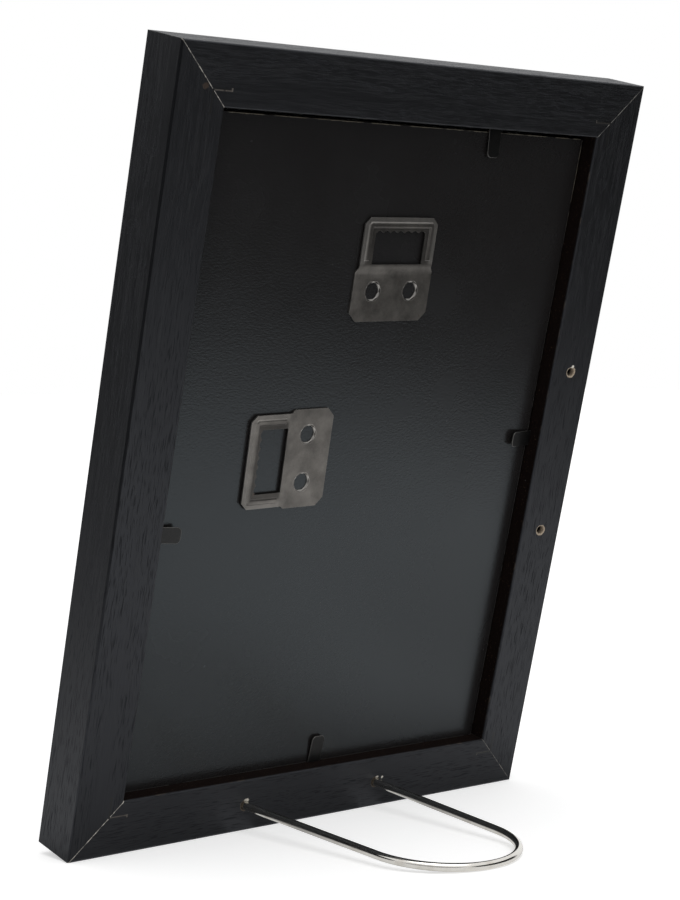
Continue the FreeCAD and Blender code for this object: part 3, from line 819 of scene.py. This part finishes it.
hanger_finish = {}
for hanger, name, worn_share, roughness_low, shade_and_highlight_shares in (
        ("hanger_portrait", "blackened steel upper", 0.35, 0.30, (0.35, 0.22)),
        ("hanger_landscape", "blackened steel side", 0.50, 0.28, (0.75, 0.08))):
    hanger_finish[hanger] = blackened_steel(
        name, worn_share, roughness_low, STEEL_DARK, hanger, shade_and_highlight_shares)
print("steel materials:", len(hanger_finish))

# %% [markdown]
# The model has the shape of the hangers with sharp edges, and stamping leaves none. To round
# a hanger it is laid down in a place of its own, and its edges are picked out by where they
# are: those of the pierced holes are left alone, and those of the bead get a softer bend.

# %% Find the edges of a hanger
HOLE_MIDDLE = (6.65, -6.4)
HOLE_REACH = 3.3
PLATE = 0.5
BEAD_FROM = 1.02


def hanger_place(name):
    """Where a hanger's own place lies: its step on the X axis, its foot on the board."""
    across, up, turn = HANGER_PLACES[name]
    flat = Matrix.Translation(Vector((across, -BOARD_RECESS, up)) * MM)
    return LEANED @ flat @ Matrix.Rotation(math.radians(turn), 4, "Y") @ Matrix.Scale(MM, 4)


def edges_where(work, test, bend):
    """The edges that bend more than some degrees and whose two ends both pass a test."""
    return [edge for edge in work.edges
            if edge.is_manifold and edge.calc_face_angle(0) > math.radians(bend)
            and all(test(vertex.co) for vertex in edge.verts)]


def off_holes(point):
    return math.hypot(abs(point.x) - HOLE_MIDDLE[0], point.z - HOLE_MIDDLE[1]) > HOLE_REACH


def on_bead(point):
    return point.y > BEAD_FROM


print("hangers:", sorted(HANGER_PLACES))

# %% [markdown]
# Each fold and rim gets a narrow rounding that catches the light, and the new faces carry
# how bare they are rubbed. Where the eye steps up from the flange, the plate bends gently.

# %% Round the stamped edges
STAMPED_ROUNDING = 0.10
BEAD_ROUNDING = 0.26
BEAD_BEND = 15
STAMPED_BEND = 35
EDGE_RUBBED = 0.35
RIM_RUBBED = 0.45
STEP_LONG = 0.8
STEP_RISE = 0.5
STEP_EASED = 2.0
TOUCHING = 0.02


def round_off(work, edges, rounding, segments, rubbed):
    """Bevels edges, and notes on the new faces how bare they are rubbed, from 0 to 1."""
    if edges:
        made = bmesh.ops.bevel(work, geom=edges, offset=rounding, offset_type="OFFSET",
                               segments=segments, profile=0.5, affect="EDGES",
                               clamp_overlap=True, material=-1)
        layer = work.faces.layers.float[RUBBED]
        for face in made["faces"]:
            face[layer] = rubbed
    return len(edges)


def join_flat(work):
    """Takes out the needless edges of flat faces."""
    bmesh.ops.dissolve_limit(work, angle_limit=math.radians(1), verts=work.verts, edges=work.edges)


def ease_step(work):
    """Cuts the flange below the step and lifts the foot."""
    everything = work.verts[:] + work.edges[:] + work.faces[:]
    bmesh.ops.bisect_plane(work, geom=everything, plane_co=(0, 0, -STEP_EASED), plane_no=(0, 0, 1))
    foot = [vertex for vertex in work.verts if abs(vertex.co.z) < TOUCHING]
    lift = STEP_RISE * STEP_EASED / (STEP_EASED + STEP_LONG)
    bmesh.ops.translate(work, vec=(0, lift, 0), verts=foot)


def soften_hanger(work):
    """The bead and the step get soft bends, and every other edge a fine one."""
    join_flat(work)
    bead = round_off(work, edges_where(work, on_bead, BEAD_BEND), BEAD_ROUNDING, 3, 0)
    ease_step(work)
    sharp = edges_where(work, off_holes, STAMPED_BEND)
    return bead + round_off(work, sharp, STAMPED_ROUNDING, 2, EDGE_RUBBED)


print("rounding ready")

# %% [markdown]
# A pierced hole is pushed through with a punch, which leaves a rim that rolls over into the
# board. Each rim starts as a six-sided ring with rounded corners, and is extruded ring by
# ring along a quarter circle and then straight down. It hides the sharp edge of the hole.

# %% Rolled rims
RIM_OUTER = 3.02
RIM_ROLL = 0.62
RIM_DOWN = 0.9
RIM_CORNER = 0.8
RIM_STEPS = 6
RIM_SIDES = 6
RIM_SWELL = 1.04
RIM_ABOVE = 0.01
CORNER_STEPS = 5
STAMPED_SMOOTH = math.radians(50)
HOLE_TURN = {"hanger_portrait": 3, "hanger_landscape": 30}


def rolled_rim(work, across, turn):
    """Adds one rim to a hanger in the hanger's own place."""
    lie = Matrix.Translation((across, PLATE + RIM_ABOVE, HOLE_MIDDLE[1]))
    lie @= Matrix.Rotation(math.radians(turn), 4, "Y") @ Matrix.Rotation(math.radians(90), 4, "X")
    corner_up = lie @ Matrix.Rotation(math.radians(90), 4, "Z")
    made = bmesh.ops.create_circle(
        work, segments=RIM_SIDES, radius=RIM_OUTER * RIM_SWELL, matrix=corner_up)
    rounded = bmesh.ops.bevel(
        work, geom=made["verts"], offset=RIM_CORNER, offset_type="OFFSET",
        segments=CORNER_STEPS, profile=0.5, affect="VERTICES", material=-1)
    start = {edge for vertex in rounded["verts"] for edge in vertex.link_edges}
    ring = [edge for edge in start if edge.is_wire]
    centre = Vector((across, 0, HOLE_MIDDLE[1]))
    for step in range(1, RIM_STEPS + 2):
        made = bmesh.ops.extrude_edge_only(work, edges=ring)["geom"]
        verts = [item for item in made if isinstance(item, bmesh.types.BMVert)]
        for face in (item for item in made if isinstance(item, bmesh.types.BMFace)):
            face[work.faces.layers.float[RUBBED]] = RIM_RUBBED
        ring = [item for item in made if isinstance(item, bmesh.types.BMEdge)
                and all(vertex in verts for vertex in item.verts)]
        if step <= RIM_STEPS:
            before, now = (math.pi / 2 * part / RIM_STEPS for part in (step - 1, step))
            outer = RIM_OUTER - RIM_ROLL * math.sin(before)
            shrink = (RIM_OUTER - RIM_ROLL * math.sin(now)) / outer
            drop = RIM_ROLL * (math.cos(before) - math.cos(now))
        else:
            shrink, drop = 1.0, RIM_DOWN
        bmesh.ops.scale(work, vec=(shrink, 1, shrink), verts=verts,
                        space=Matrix.Translation(-centre))
        bmesh.ops.translate(work, vec=(0, -drop, 0), verts=verts)


for name, steel in hanger_finish.items():
    work = merged_copy(name)
    own_place = hanger_place(name)
    bmesh.ops.transform(work, matrix=own_place.inverted(), verts=work.verts)
    print(name, "edges rounded:", soften_hanger(work))
    for side in (-1, 1):
        rolled_rim(work, side * HOLE_MIDDLE[0], HOLE_TURN[name])
    bmesh.ops.transform(work, matrix=own_place, verts=work.verts)
    mark_smooth(work, STAMPED_SMOOTH)
    hanger = finish_piece(work, name + "_stamping", steel, "frame", name)
    keep_faces_flat(hanger)
    print(hanger.name, len(hanger.data.polygons), "faces")

# %% [markdown]
# ## The tabs
# The tabs are strips of thin blue-black spring steel. Each tongue is rounded in the same
# way as the hangers and rides on its own body, so that it bends up with its joint.

# %% Tabs
TAB_ROUNDING = 0.07 * MM
TAB_RUBBED = 0.35

tab_finish = blackened_steel("tab steel", -0.35, 0.30, grey(0.030, -0.01))
for side in ("top", "bottom", "left", "right"):
    name = "tab_tongue_" + side
    work = merged_copy(name)
    join_flat(work)
    sharp = edges_where(work, lambda point: True, STAMPED_BEND)
    round_off(work, sharp, TAB_ROUNDING, 2, TAB_RUBBED)
    mark_smooth(work, STAMPED_SMOOTH)
    tongue = finish_piece(work, name + "_strip", tab_finish, "tab_" + side, name)
    keep_faces_flat(tongue)
    dress("tab_anchor_" + side, tab_finish)
print("tabs: 4")

# %% [markdown]
# ## The wire stand
# The stand is one piece of bright plated wire. A circle is carried along its path with the
# spin operator: straight runs are spins of no angle, and the bends are real arcs, so the
# reflections run smoothly along it.

# %% Stand wire path
SLOPE = math.radians(9)
WIRE_RADIUS = 1.15 * MM
WIRE_REACH = 73.0 * MM
WIRE_BEND = 21.75 * MM
WIRE_KINK = 20.0 * MM
WIRE_STRAIGHT = 1.0 * MM
WIRE_SEAT = 9.5 * MM
HALF_GAP = HOLE_GAP / 2 * MM
bend_centre = WIRE_REACH - WIRE_BEND
kink_across = HALF_GAP - WIRE_KINK
between = math.hypot(kink_across, bend_centre - WIRE_STRAIGHT)
tilt = math.acos((WIRE_BEND - WIRE_KINK) / between)
tilt -= math.atan2(bend_centre - WIRE_STRAIGHT, kink_across)
leg_run = math.sqrt(between ** 2 - (WIRE_BEND - WIRE_KINK) ** 2)
print("legs lean in by %.2f degrees over %.1f mm" % (math.degrees(tilt), leg_run / MM))

# %% [markdown]
# Plating is bright, with faint drawing streaks along the wire and patches where it has gone
# dull. One end, the two legs and the bend follow one after the other from a single circle.

# %% Bright plated wire
RING_SIDES = 32
KINK_STEPS = 4
BEND_STEPS = 96
PLATE_BRIGHT = (0.72, 0.70, 0.66, 1)
PLATE_DULL = (0.60, 0.57, 0.52, 1)
ORIGIN = (0, 0, 0)


def bright_plating():
    material, shader, place = new_material("bright plating")
    streaks = speckle(vector("MULTIPLY", place, (1, 0.15, 1)), 1.8, detail=3.0)
    dull = fade(speckle(place, 0.25, detail=4.0), 0.45, 0.75)
    wire_in(shader, Base_Color=mix_colour(dull, PLATE_BRIGHT, PLATE_DULL),
            Roughness=scaled(dull, 0.08, 0.13), Metallic=1.0, Normal=bumped(streaks, 0.12, 0.01))
    return material


def carry_ring(work, ring, centre, angle, steps, shift=ORIGIN):
    """Extrudes the last ring of edges round a centre, or straight on where the angle is 0."""
    result = bmesh.ops.spin(work, geom=ring, cent=centre, axis=(0, 0, 1), dvec=shift,
                            angle=angle, steps=steps, use_duplicate=False)
    return [item for item in result["geom_last"] if isinstance(item, bmesh.types.BMEdge)]


work = bmesh.new()
seat = Matrix.Translation((HALF_GAP, -WIRE_SEAT, 0)) @ Matrix.Rotation(math.pi / 2, 4, "X")
first = bmesh.ops.create_circle(work, segments=RING_SIDES, radius=WIRE_RADIUS, matrix=seat)
start_ring = list({edge for vertex in first["verts"] for edge in vertex.link_edges})
inwards = Vector((-math.sin(tilt), math.cos(tilt), 0))
outwards = Vector((-math.sin(tilt), -math.cos(tilt), 0))
ring = list(start_ring)
for centre, angle, steps, shift in (
        (ORIGIN, 0, 1, (0, WIRE_SEAT + WIRE_STRAIGHT, 0)),
        ((kink_across, WIRE_STRAIGHT, 0), tilt, KINK_STEPS, ORIGIN),
        (ORIGIN, 0, 1, inwards * leg_run),
        ((0, bend_centre, 0), math.pi - 2 * tilt, BEND_STEPS, ORIGIN),
        (ORIGIN, 0, 1, outwards * leg_run),
        ((-kink_across, WIRE_STRAIGHT, 0), tilt, KINK_STEPS, ORIGIN),
        (ORIGIN, 0, 1, (0, -WIRE_SEAT - WIRE_STRAIGHT, 0))):
    ring = carry_ring(work, ring, centre, angle, steps, shift)
for loop in (start_ring, ring):
    bmesh.ops.contextual_create(work, geom=loop)
bmesh.ops.recalc_face_normals(work, faces=work.faces)
mark_smooth(work)
place_on_rail = Matrix.Translation((0, 0, RAIL_WIDE / 2 * MM)) @ Matrix.Rotation(SLOPE, 4, "X")
bmesh.ops.transform(work, matrix=LEANED @ place_on_rail, verts=work.verts)
plating = bright_plating()
wire = finish_piece(work, "stand_wire_bright", plating, "stand", "stand_wire")
print("wire box:", [round(v / MM, 1) for v in wire.dimensions])

# %% [markdown]
# ## Stage, light and camera
# The photograph was taken on a white table with one large soft light above. Black things
# show mostly what they reflect, so what stands round the table matters as much as the lamp:
# dark cards at the sides keep the upper part of the back dark, and the white table makes its
# lower part lighter. The table adds a little light of its own where it is looked at.

# %% Floor
FLOOR_WIDE = 6.0
FLOOR_WHITE = grey(0.80)
FLOOR_GLOW = 0.48


def stage_plane(name, size, matrix, material):
    """A flat rectangle that belongs to the stage and not to the object."""
    work = bmesh.new()
    bmesh.ops.create_grid(work, x_segments=1, y_segments=1, size=0.5)
    bmesh.ops.scale(work, vec=(size[0], size[1], 1), verts=work.verts)
    bmesh.ops.transform(work, matrix=matrix, verts=work.verts)
    plane = mesh_object(work, name, material)
    return plane


def plain_finish(name, colour):
    """A matt material, its shader, and the place on the stage in metres."""
    material = bpy.data.materials.new(name)
    material.use_nodes = True
    shader = material.node_tree.nodes["Principled BSDF"]
    wire_in(shader, Base_Color=colour, Roughness=0.9, Specular_IOR_Level=0.1)
    place = add_node("TexCoord", tree=material.node_tree).outputs["Object"]
    return material, shader, place


def looked_at(tree):
    """One for rays from the camera, a reflection or through glass, and zero for other light."""
    rays = add_node("LightPath", tree=tree).outputs
    kinds = ("Camera", "Glossy", "Transmission")
    return reduce(largest, [rays["Is %s Ray" % kind] for kind in kinds])


white_table, shader, place = plain_finish("white table", FLOOR_WHITE)
own_light = times(looked_at(white_table.node_tree), FLOOR_GLOW)
wire_in(shader, Emission_Color=(1, 1, 1, 1), Emission_Strength=own_light)
stage_plane("floor", (FLOOR_WIDE, FLOOR_WIDE), Matrix(), white_table)
print("floor %d m wide" % FLOOR_WIDE)

# %% [markdown]
# A dark cloth lies flat and is seen in reflections only. It is clear in its middle, so that
# the white table fades from the reflections with its distance from the frame. It fades
# sooner on the side that the back of the frame reflects, where it begins in a clearer line.

# %% Cloth far from the frame
CLOTH_REACH = 0.22
CLOTH_STARTS = 0.15
CLOTH_FULL = 0.31
TO_CAMERA = (0.67, 0.74, 0)
OFF_SIDE = (0.67, -0.74, 0)
FAR_SIDE = (-0.67, 0.74, 0)
SIDE_EDGE = (0.3, 0.9)
FAR_EDGE = (0.1, 0.7)
WIDER_TO_CAMERA = 1.5
WIDER_OFF_SIDE = 1.1
NARROWER_FROM = 0.05
NARROWER = 0.75


def table_left(place, parts, reach):
    """How much of the table is left: reach is the distance at which a third of it is."""
    away = largest(minus(vector("LENGTH", place), reach / 4), 0.0)
    heading = vector("NORMALIZE", place)
    to_camera = fade(vector("DOT_PRODUCT", heading, TO_CAMERA), *SIDE_EDGE)
    off_side = fade(vector("DOT_PRODUCT", heading, OFF_SIDE), *SIDE_EDGE)
    reaches = scaled(to_camera, reach * WIDER_TO_CAMERA, reach)
    reaches = scaled(off_side, reach * WIDER_OFF_SIDE, reaches)
    left = number("EXPONENT", times(divided(away, reaches), -1.0))
    sideways = times(smallest(plus(parts["X"], NARROWER_FROM), 0.0), NARROWER)
    behind_frame = vector("LENGTH", put_together(sideways, parts["Y"]))
    near_line = fade(behind_frame, CLOTH_FULL, CLOTH_STARTS)
    far_side = fade(vector("DOT_PRODUCT", heading, FAR_SIDE), *FAR_EDGE)
    return plus(left, times(minus(near_line, left), far_side))


print("cloth from %.2f to %.2f m behind the frame" % (CLOTH_STARTS, CLOTH_FULL))

# %% [markdown]
# Close to the frame the cloth paints the shade that the table lies in, seen in reflections
# only. The painted shade ends a few centimetres behind the foot, is thinner under the legs
# of the wire, where its own reflection is light, and two wider patches of it darken the
# reflection between the legs and at one end.

# %% Cloth near the foot
CARD_BLACK = grey(0.01)
CLOTH_WIDE = 4.0
CLOTH_LIFT = 0.0005
FOOT_BACK = (LEANED @ Vector((0, 0, 0))).y
FOOT_SHADE = 0.055
FOOT_DIM = 0.42
WIRE_CLEAR = 0.0035
WIRE_ALONG = (0.024, 0.012)
WIRE_DIM = 0.22
WIRE_PATCH = ((-0.075, -0.020), (0.090, 0.030))
END_DIM = 0.25
END_PATCH = ((-0.07, -0.12), (0.100, 0.050))


def lit_near_foot(parts):
    """How light the table is close to the frame, from 0 to 1."""
    beside = positive(parts["X"])
    shade_ends = largest(fade(parts["Y"], FOOT_BACK, FOOT_BACK + FOOT_SHADE),
                         fade(beside, HALF_WIDTH, HALF_WIDTH * 1.2))
    from_leg = positive(minus(beside, HOLE_GAP / 2 * MM))
    along_wire = times(fade(minus(parts["Y"], FOOT_BACK), *WIRE_ALONG),
                       number("GREATER_THAN", parts["Y"], FOOT_BACK))
    under_wire = times(fade(from_leg, WIRE_CLEAR * 1.5, WIRE_CLEAR), along_wire)
    lit = scaled(largest(under_wire, shade_ends), 1 - FOOT_DIM, FOOT_DIM)
    by_wire, by_end = (times(fade(parts["X"], *across), fade(parts["Y"], *back))
                       for across, back in (WIRE_PATCH, END_PATCH))
    by_wire = times(by_wire, fade(parts["X"], HALF_WIDTH * 1.2, HALF_WIDTH / 2))
    lit = times(lit, scaled(by_wire, -WIRE_DIM, 1.0))
    return times(lit, scaled(by_end, -END_DIM, 1.0))


def add_card(name, size, matrix, material):
    """A rectangle of the stage that is seen in reflections only."""
    card = stage_plane(name, size, matrix, material)
    for rays in ("camera", "diffuse", "transmission", "shadow"):
        setattr(card, "visible_" + rays, False)


cloth, shader, place = plain_finish("dark cloth", CARD_BLACK)
parts = taken_apart(place)
# The cloth paints the table's shade near the foot into the reflections.
left = times(table_left(place, parts, CLOTH_REACH), lit_near_foot(parts))
wire_in(shader, Alpha=minus(1.0, left))
add_card("dark cloth", (CLOTH_WIDE, CLOTH_WIDE), Matrix.Translation((0, 0, CLOTH_LIFT)), cloth)
print("cloth %d m wide" % CLOTH_WIDE)

# %% [markdown]
# Upright cards stand on three sides, and the side behind the frame stays open and white.
# They are clearer towards their ends and their top, so that the glass in front reflects no
# hard edge. The thinnest card stands where the bend of the wire would reflect it.

# %% Dark cards
CARD_TALL = 0.6
CARD_AWAY = 1.0
CARD_TOP = 0.8
CARD_ENDS = (math.cos(math.radians(45)), math.cos(math.radians(30)))
CARDS = ((-45, 1.0), (45, 0.55), (135, 1.0))


def soft_card(name, towards, cover):
    """Black, and clearer to its ends and its top."""
    material, shader, place = plain_finish(name, CARD_BLACK)
    parts = taken_apart(place)
    level = vector("NORMALIZE", put_together(parts["X"], parts["Y"]))
    sides = fade(vector("DOT_PRODUCT", level, towards), *CARD_ENDS)
    top = fade(parts["Z"], CARD_TALL, CARD_TALL * CARD_TOP)
    wire_in(shader, Alpha=times(times(sides, top), cover))
    return material


upright = Matrix.Translation((CARD_AWAY, 0, CARD_TALL / 2)) @ Matrix.Rotation(math.pi / 2, 4, "Y")
for azimuth, cover in CARDS:
    turn = Matrix.Rotation(math.radians(azimuth), 4, "Z")
    name = "black card %d" % azimuth
    card_finish = soft_card(name, turn @ Vector((1, 0, 0)), cover)
    add_card(name, (CARD_TALL, 2 * CARD_AWAY), turn @ upright, card_finish)
print("cards", len(CARDS))

# %% [markdown]
# The room is white where the camera or a reflection sees it, and gives a softer light. One
# wide lamp overhead adds the light that falls from above and the faint shade on the table.

# %% World and lamp
WORLD_LIGHT = 0.55
SUN_STRENGTH = 1.1
SUN_FROM = (0.1, 0.25, 1.0)
SUN_ANGLE = 50

world = bpy.data.worlds.new("studio")
world.use_nodes = True
world.node_tree.nodes.clear()
strength = scaled(looked_at(world.node_tree), 1 - WORLD_LIGHT, WORLD_LIGHT)
background = add_node("Background", {"Color": (1, 1, 1, 1), "Strength": strength})
add_node("OutputWorld", {"Surface": background.outputs[0]})
bpy.context.scene.world = world

sun = bpy.data.lights.new("overhead", "SUN")
sun.energy = SUN_STRENGTH
sun.angle = math.radians(SUN_ANGLE)
lamp = add_object("overhead", sun)
lamp.rotation_mode = "QUATERNION"
lamp.rotation_quaternion = (-Vector(SUN_FROM)).to_track_quat("-Z", "Y")
print("world light", WORLD_LIGHT)

# %% [markdown]
# The camera is where the photograph was taken from, found by matching the corners of the
# rails. The photograph is cropped a little off centre, which the shift repeats.

# %% Camera
CAMERA_PLACE = (0.3937, 0.4369, 0.1403)
CAMERA_TURN = (85.205, -0.065, 139.616)
CAMERA_LENS = 87.91
CAMERA_SHIFT = (0.0230, 0.0601)

camera_data = bpy.data.cameras.new("camera")
camera_data.lens = CAMERA_LENS
camera_data.shift_x, camera_data.shift_y = CAMERA_SHIFT
camera_data.clip_start = 0.01
camera = add_object("camera", camera_data)
camera.location = CAMERA_PLACE
camera.rotation_euler = [math.radians(angle) for angle in CAMERA_TURN]
bpy.context.scene.camera = camera
bpy.context.scene.view_settings.view_transform = "Standard"
print("camera at", CAMERA_PLACE)
